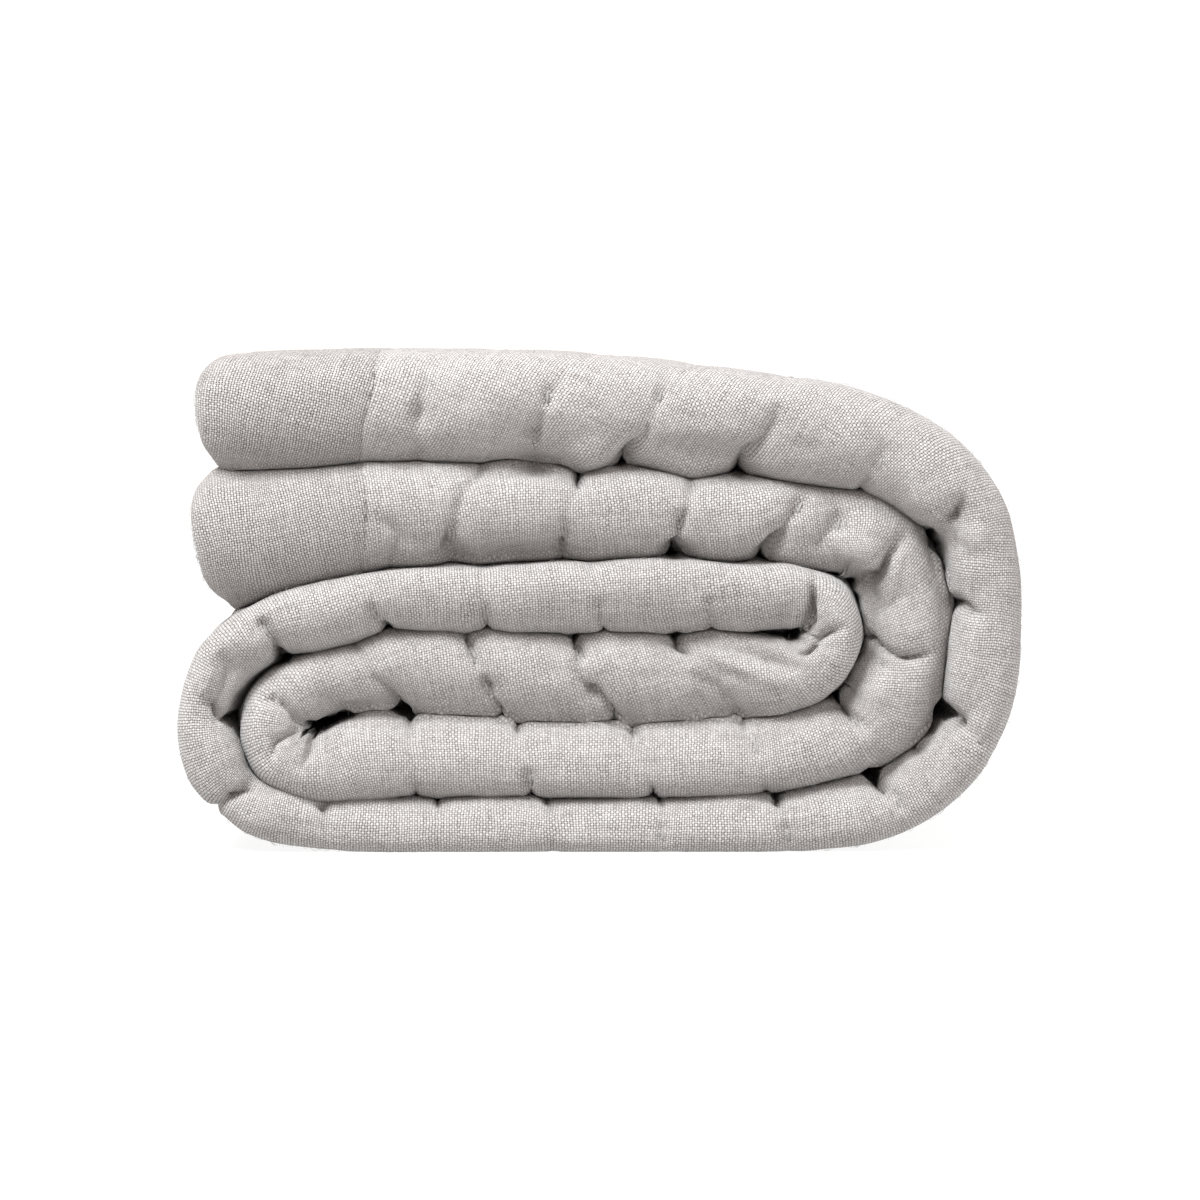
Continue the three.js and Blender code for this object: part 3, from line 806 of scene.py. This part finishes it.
def border_stations():
    """Distance from the seam towards the free end, and the inset of each ring."""
    straight = BORDER - TIP_ROUND
    fine_end, fine_step = BORDER_FINE
    fine = np.arange(-BORDER_TUCK, fine_end, fine_step)
    run = np.concatenate([fine, np.arange(fine_end + 0.2, straight, BORDER_STEP)])
    angle = np.linspace(0, math.pi / 2, TIP_STEPS)
    cap = np.arange(TIP_ROUND + CAP_STEP, INSIDE, CAP_STEP)
    tuck = [-BORDER_TUCK] * len(BORDER_INSETS)
    away = np.concatenate([tuck, run, straight + TIP_ROUND * np.sin(angle), cap * 0 + BORDER])
    inset = np.concatenate([BORDER_INSETS, run * 0, TIP_ROUND * (1 - np.cos(angle)), cap])
    return away, inset


def hem_grooves(points, along, inset, away):
    """The grooves between the pressed layers, seen at the free end."""
    half = at("thick", along) / 2
    depth = sum(HEM_DEPTH * np.exp(-(((inset - half * share) / HEM_WIDTH) ** 2)) for share in HEM_SHARES)
    depth *= away > BORDER / 2
    return depth[:, None] * smoothstep(points[..., 1] + DEPTH / 2, *HEM_START)


def border_skin(upper):
    away, inset = border_stations()
    along = SEAMS[0] - away if upper else SEAMS[1] + away
    if upper:
        along, inset, away = along[::-1], inset[::-1], away[::-1]
    points, weave = skin(along, inset, seam_lean(along))
    normals = outward(points)
    depth = seam_groove(along)[:, None] + hem_grooves(points, along, inset, away)
    depth += BORDER_DIP[0] * valley(np.maximum(away, 0), BORDER_DIP[1])[:, None]
    if not upper:
        depth -= SEAM_RIDGE * np.exp(-(((away - SEAM_PLACE) / SEAM_WIDTH) ** 2))[:, None]
    height, size = BORDER_WAVE
    depth = depth + height * noise(points, size, 3 if upper else 4) * (inset < TIP_ROUND)[:, None]
    return points - normals * depth[..., None], weave, along


def settle(points):
    """Lets nothing reach below the surface that the quilt lies on."""
    points[..., 2] = np.maximum(points[..., 2], 0.0)
    return points


# Stitches and loose fibres


def seen_at(tree, x, z):
    """The place on the skin that is seen at a place of the picture's plane, which lies at the front."""
    eye = Vector(CAMERA)
    aim = (Vector((x, -DEPTH / 2, z)) - eye).normalized()
    hit, normal = tree.ray_cast(eye, aim, 5000)[:2]
    return np.array(hit), np.array(normal)


def tube(path, radius, sides=6):
    """Points and faces of a closed tube with round ends along a path."""
    path = np.asarray(path, float)
    heading = unit(np.gradient(path, axis=0))
    side = unit(np.cross(heading, (0.3, 0.2, 1.0)))
    up = np.cross(side, heading)
    angle = np.linspace(0, 2 * math.pi, sides, endpoint=False)
    width = radius * np.sqrt(np.clip(1 - np.linspace(-0.97, 0.97, len(path)) ** 6, 0, 1))
    ring = np.cos(angle)[None, :, None] * side[:, None] + np.sin(angle)[None, :, None] * up[:, None]
    points = (path[:, None] + ring * width[:, None, None]).reshape(-1, 3)
    faces = ring_faces(len(path), sides).tolist()
    faces.append(list(range(sides))[::-1])
    faces.append(list(range(len(points) - sides, len(points))))
    return points, faces


def joined_mesh(name, tubes):
    vertices = []
    faces = []
    for points, polygons in tubes:
        faces.extend([len(vertices) + i for i in polygon] for polygon in polygons)
        vertices.extend(points)
    return smooth_mesh(name, np.array(vertices), faces)


def stitch(start, end, normal):
    """A thread from start to end that stands out a little and dives in at both ends."""
    t = np.linspace(0, 1, 8)[:, None]
    arch = 1 - (2 * t - 1) ** 4
    lift = normal * (STITCH_LIFT * arch - STITCH_DIVE * (1 - arch))
    points, faces = tube(start + (end - start) * t + lift, THREAD / 2)
    points[:, 2] += max(0.0, -points[:, 2].min())
    return points, faces


def front_stitches(tree):
    ends = []
    for x1, z1, x2, z2 in STITCHES:
        start, normal = seen_at(tree, x1, z1)
        ends.append((start, seen_at(tree, x2, z2)[0], normal))
    return ends


def face_stitches(points, along):
    """Running stitches in the channels of the faces that lie outside in the roll."""
    normals = outward(points)
    columns = list(OUTER_FACE)[::-1]
    reach, size, seed = STITCH_STRAY
    ends = []
    for k, place in enumerate(CHANNEL_PLACES[CHANNEL_PLACES < OUTSIDE_END]):
        y = -DEPTH / 2 + STITCH_ENDS[0] + (k * STITCH_SHIFT) % STITCH_PITCH
        while y + STITCH_LENGTH < DEPTH / 2 - STITCH_ENDS[1]:
            spots = []
            for yy in (y, y + STITCH_LENGTH):
                where = place + meander(place, np.array([yy]))[0]
                station = min(np.searchsorted(along, where), len(along) - 1)
                row = points[station, columns]
                spots.append(np.array([np.interp(yy, row[:, 1], row[:, axis]) for axis in range(3)]))
            normal = normals[station, columns[len(columns) // 2]]
            ends.append((spots[0], spots[1], normal))
            y += STITCH_PITCH + reach * noise(np.array([[y, place, 0.0]]), size, seed)[0]
    return ends


def dimples(ends):
    """Where the threads of the stitches dive in: x, y, z, radius and depth."""
    spots = []
    for start, end, _ in ends:
        middle = (start + end) / 2
        spots += [(*start, *END_DIMPLE), (*end, *END_DIMPLE), (*middle, *MIDDLE_DIMPLE)]
    return spots


def loose_fibres(points, count, seed):
    """Short curled fibres that stand off the front fold of a skin."""
    rng = np.random.default_rng(seed)
    station = rng.integers(6, len(points) - 6, count)
    column = rng.integers(1, FRONT_COLUMNS, count)
    root = points[station, column]
    normal = outward(points)[station, column]
    ahead = unit(points[station + 1, column] - root)
    aside = np.cross(normal, ahead)
    turn = rng.uniform(0, 2 * math.pi, count)[:, None]
    run = np.cos(turn) * ahead + np.sin(turn) * aside
    curl = np.cos(turn) * aside - np.sin(turn) * ahead
    length = rng.uniform(*FIBRE_LENGTH, count)[:, None]
    bow = rng.uniform(-FIBRE_BOW, FIBRE_BOW, count)[:, None]
    rise = rng.uniform(*FIBRE_RISE, count)[:, None]
    paths = []
    for t in np.linspace(0, 1, 5):
        lift = normal * (rise * math.sin(FIBRE_ARCH * t) - FIBRE_SINK)
        paths.append(root + length * (t * run + bow * t * t * curl) + lift)
    paths = np.stack(paths, 1)
    paths[..., 2] = np.maximum(paths[..., 2], FIBRE)
    return [tube(path, FIBRE / 2, 3) for path in paths]


# Materials


class Nodes:
    """Short ways to add shader nodes to a material or a world; a number or a socket may be an input."""

    def __init__(self, owner):
        owner.use_nodes = True
        self.tree = owner.node_tree
        self.tree.nodes.clear()

    def add(self, kind, inputs=None, **settings):
        node = self.tree.nodes.new(kind)
        for name, value in settings.items():
            setattr(node, name, value)
        for name, value in (inputs or {}).items():
            if isinstance(value, bpy.types.NodeSocket):
                self.tree.links.new(value, node.inputs[name])
            else:
                node.inputs[name].default_value = value
        return node

    def math(self, operation, *values):
        return self.add("ShaderNodeMath", dict(enumerate(values)), operation=operation).outputs[0]

    def vector_math(self, operation, inputs):
        return self.add("ShaderNodeVectorMath", inputs, operation=operation).outputs[0]

    def mix(self, share, low, high):
        """low where share is 0 and high where it is 1."""
        node = self.add("ShaderNodeMix", {0: share, 2: low, 3: high}, data_type="FLOAT")
        return node.outputs[0]

    def noise(self, vector, scale, detail=2.0, roughness=0.5):
        inputs = {"Vector": vector, "Scale": scale, "Detail": detail, "Roughness": roughness}
        return self.add("ShaderNodeTexNoise", inputs).outputs["Fac"]

    def strayed(self, vector, scale, reach):
        """The vector moved by soft noise, by up to about half of reach each way."""
        wave = self.add("ShaderNodeTexNoise", {"Vector": vector, "Scale": scale, "Detail": 1.0})
        centred = self.vector_math("SUBTRACT", {0: wave.outputs["Color"], 1: (0.5, 0.5, 0.5)})
        scaled = self.vector_math("SCALE", {0: centred, "Scale": reach})
        return self.vector_math("ADD", {0: vector, 1: scaled})

    def vector(self, x, y, z=0.0):
        return self.add("ShaderNodeCombineXYZ", {0: x, 1: y, 2: z}).outputs[0]

    def surface(self, inputs):
        """Ends a material with one shader."""
        shader = self.add("ShaderNodeBsdfPrincipled", inputs)
        self.add("ShaderNodeOutputMaterial", {"Surface": shader.outputs[0]})


def linen(name, colour, dark, gap_and_shade_strength):
    """Coarse plain weave in matt linen: light threads, dark holes between them, and painted shade where the
    threads lie low. It follows the map called weave.
    """
    material = bpy.data.materials.new(name)
    n = Nodes(material)
    place = n.add("ShaderNodeUVMap", uv_map="weave").outputs[0]
    moved = place
    for scale, reach in WEAVE_STRAYS:
        moved = n.strayed(moved, scale, reach)
    per_metre = [1 / (pitch * MM) for pitch in WEAVE_PITCH]
    counted = n.vector_math("MULTIPLY", {0: moved, 1: (*per_metre, 1)})
    u, v = n.add("ShaderNodeSeparateXYZ", {0: counted}).outputs[:2]
    thread_u = n.math("FLOOR", u)
    thread_v = n.math("FLOOR", v)
    over = n.math("PINGPONG", n.math("ADD", thread_u, thread_v), 1.0)
    sides = []
    for way in (u, v):
        middle = n.math("ABSOLUTE", n.math("SINE", n.math("MULTIPLY", way, math.pi)))
        sides.append(n.math("POWER", n.math("SUBTRACT", 1.0, middle), SIDE_POWER))
    # A thread is low at its sides, lower where it dives under the next, and lowest at the corners; its
    # colour is darkened there as painted shade.
    fall_u = n.math("MULTIPLY", sides[0], n.mix(over, *FALL_ALONG))
    fall_v = n.math("MULTIPLY", sides[1], n.mix(over, *FALL_ACROSS))
    corner = n.math("MULTIPLY", *sides)
    fall = n.math("MULTIPLY_ADD", corner, CORNER_FALL, n.math("ADD", fall_u, fall_v))
    pillow = n.math("SUBTRACT", 1.0, fall)
    # Every thread has a tone of its own that changes slowly along it.
    tone_u = n.noise(n.vector(n.math("MULTIPLY", thread_u, 7.31), n.math("MULTIPLY", v, TONE_RUN)), 1.0, 1.0)
    far = n.vector(n.math("MULTIPLY", thread_v, 5.17), n.math("MULTIPLY", u, TONE_RUN), 40.0)
    tone_v = n.noise(far, 1.0, 1.0)
    tone = n.math("SUBTRACT", n.mix(over, tone_u, tone_v), 0.5)
    fleck = n.math("SUBTRACT", n.noise(counted, FLECK[0], 2.0, 0.6), 0.5)
    cloud = n.math("SUBTRACT", n.noise(place, CLOUD[0], 3.0, 0.6), 0.5)
    depth = n.add("ShaderNodeSeparateXYZ", {0: n.add("ShaderNodeTexCoord").outputs["Object"]}).outputs["Y"]
    front = (DEPTH / 2 - SMOOTH_START) / SMOOTH_REACH
    pressed_flat = n.math("MULTIPLY_ADD", depth, 1 / (SMOOTH_REACH * MM), front)
    painted_shade_contrast = n.mix(pressed_flat, gap_and_shade_strength, gap_and_shade_strength * SMOOTH_SHARE)
    # Painted shade: the colour darkens where the woven surface lies low, less so on the pressed faces behind
    # the front.
    painted_shade_swing = n.math("SUBTRACT", pillow, PILLOW_MEAN)
    # Painted light: threads that lie over are painted lighter than those under.
    side = n.math("SUBTRACT", over, 0.5)
    light = 1.0
    parts = [(painted_shade_swing, painted_shade_contrast), (tone, 1.0), (fleck, FLECK[1]), (cloud, CLOUD[1]), (side, OVER_PAINTED_LIGHT)]
    for part, strength in parts:
        light = n.math("MULTIPLY_ADD", part, strength, light)
    shade = n.add("ShaderNodeMix", {0: light, 6: dark, 7: colour}, data_type="RGBA", clamp_factor=False)
    kept = n.vector_math("MAXIMUM", {0: shade.outputs[2], 1: DARKEST})
    kept = n.vector_math("MINIMUM", {0: kept, 1: LIGHTEST})
    height = n.math("MULTIPLY_ADD", fleck, FLECK_HEIGHT, pillow)
    bump = n.add("ShaderNodeBump", {"Strength": 1.0, "Distance": BUMP, "Height": height}).outputs[0]
    sheen = {"Specular IOR Level": 0.1, "Sheen Weight": 0.2, "Sheen Roughness": 0.5}
    n.surface({"Base Color": kept, "Roughness": 0.95, "Normal": bump, **sheen})
    return material


def thread_material():
    material = bpy.data.materials.new("quilting thread")
    n = Nodes(material)
    place = n.add("ShaderNodeTexCoord").outputs["Object"]
    twist = n.noise(place, 1800.0, 2.0)
    light = n.math("MULTIPLY_ADD", twist, 0.5, 0.7)
    shade = n.vector_math("SCALE", {0: THREAD_COLOUR, "Scale": light})
    bump = n.add("ShaderNodeBump", {"Strength": 0.7, "Distance": 0.0002, "Height": twist}).outputs[0]
    n.surface({"Base Color": shade, "Roughness": 0.8, "Sheen Weight": 0.2, "Normal": bump})
    return material


# Building


def put(name, data):
    thing = bpy.data.objects.new(name, data)
    bpy.context.scene.collection.objects.link(thing)
    return thing


def add_piece(name, mesh, material):
    piece = put(name, mesh)
    mesh.materials.append(material)
    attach(piece, "root")
    return piece


def stitches_of(parts, along):
    return front_stitches(tree_of(parts)) + face_stitches(parts[0], along)


def build_quilt():
    skins = [body_skin(), border_skin(True), border_skin(False)]
    parts, weaves, alongs = [list(column) for column in zip(*skins)]
    parts = [settle(points) for points in parts]
    stitches = stitches_of(parts, alongs[0])
    parts[0] = pinches(parts[0], outward(parts[0]), dimples(stitches))
    stitches = stitches_of(parts, alongs[0])
    for _ in range(2):
        tree = tree_of(parts)
        parts = [settle(close_gaps(*row, tree, FACE_COLUMNS)) for row in zip(parts, alongs)]
    quilted = linen("quilted linen", *BODY_LINEN)
    plain = linen("border linen", *BORDER_LINEN)
    pieces = [
        ("quilt_body", quilted, "quilted_linen", "quilted_body"),
        ("upper_border", plain, "border_linen", "border_top"),
        ("inner_border", plain, "border_linen", "border_under"),
    ]
    for points, weave, (name, material, slot, node) in zip(parts, weaves, pieces):
        piece = add_piece(name, grid_mesh(name, points, weave), material)
        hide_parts(node)
    threads = [stitch(*ends) for ends in stitches]
    fuzz = []
    for points, share, seed in zip(parts, (1, 16, 16), (1, 2, 3)):
        fuzz += loose_fibres(points, FIBRES // share, seed)
    thread = thread_material()
    for name, tubes in (("stitches", threads), ("fuzz", fuzz)):
        add_piece(name, joined_mesh(name, tubes), thread)


# Stage, light and camera


def build_floor():
    material = bpy.data.materials.new("floor")
    glow = {"Emission Color": (1, 1, 1, 1), "Emission Strength": FLOOR_GLOW}
    Nodes(material).surface({"Base Color": FLOOR_COLOUR, "Roughness": 0.9, **glow})
    corners = [(x * FLOOR_SIZE, y * FLOOR_SIZE, 0) for x, y in ((-1, -1), (1, -1), (1, 1), (-1, 1))]
    mesh = bpy.data.meshes.new("floor")
    mesh.from_pydata(corners, [], [(0, 1, 2, 3)])
    mesh.materials.append(material)
    put("floor", mesh)


def look(thing, place, aim):
    """Puts a lamp or a camera at a place and turns it to what it aims at."""
    thing.location = place
    thing.rotation_euler = (Vector(aim) - Vector(place)).to_track_quat("-Z", "Y").to_euler()


def area_light(name, place, aim, size, power):
    light = bpy.data.lights.new(name, "AREA")
    light.shape = "RECTANGLE"
    light.size, light.size_y = size
    light.energy = power
    light.color = KEY_WHITE
    look(put(name, light), place, aim)


def build_light():
    world = bpy.data.worlds.new("studio")
    n = Nodes(world)
    toward = n.add("ShaderNodeSeparateXYZ", {0: n.add("ShaderNodeTexCoord").outputs["Generated"]})
    share = n.math("MULTIPLY_ADD", toward.outputs["Y"], *BACKDROP_SHARE)
    strength = n.mix(share, ROOM_LIGHT, BACKDROP_LIGHT)
    background = n.add("ShaderNodeBackground", {"Color": (*WARM_WHITE, 1), "Strength": strength})
    n.add("ShaderNodeOutputWorld", {"Surface": background.outputs[0]})
    bpy.context.scene.world = world
    bpy.context.scene.view_settings.view_transform = "Standard"
    area_light("key", *KEY)
    area_light("fill", *FILL)


def build_camera():
    data = bpy.data.cameras.new("camera")
    data.sensor_width = SENSOR
    place, aim = Vector(CAMERA) * MM, Vector(AIM) * MM
    data.lens = SENSOR * (aim - place).length / (VIEW_WIDTH * MM)
    camera = put("camera", data)
    look(camera, place, aim)
    bpy.context.scene.camera = camera


build_camera()
build_quilt()
build_floor()
build_light()
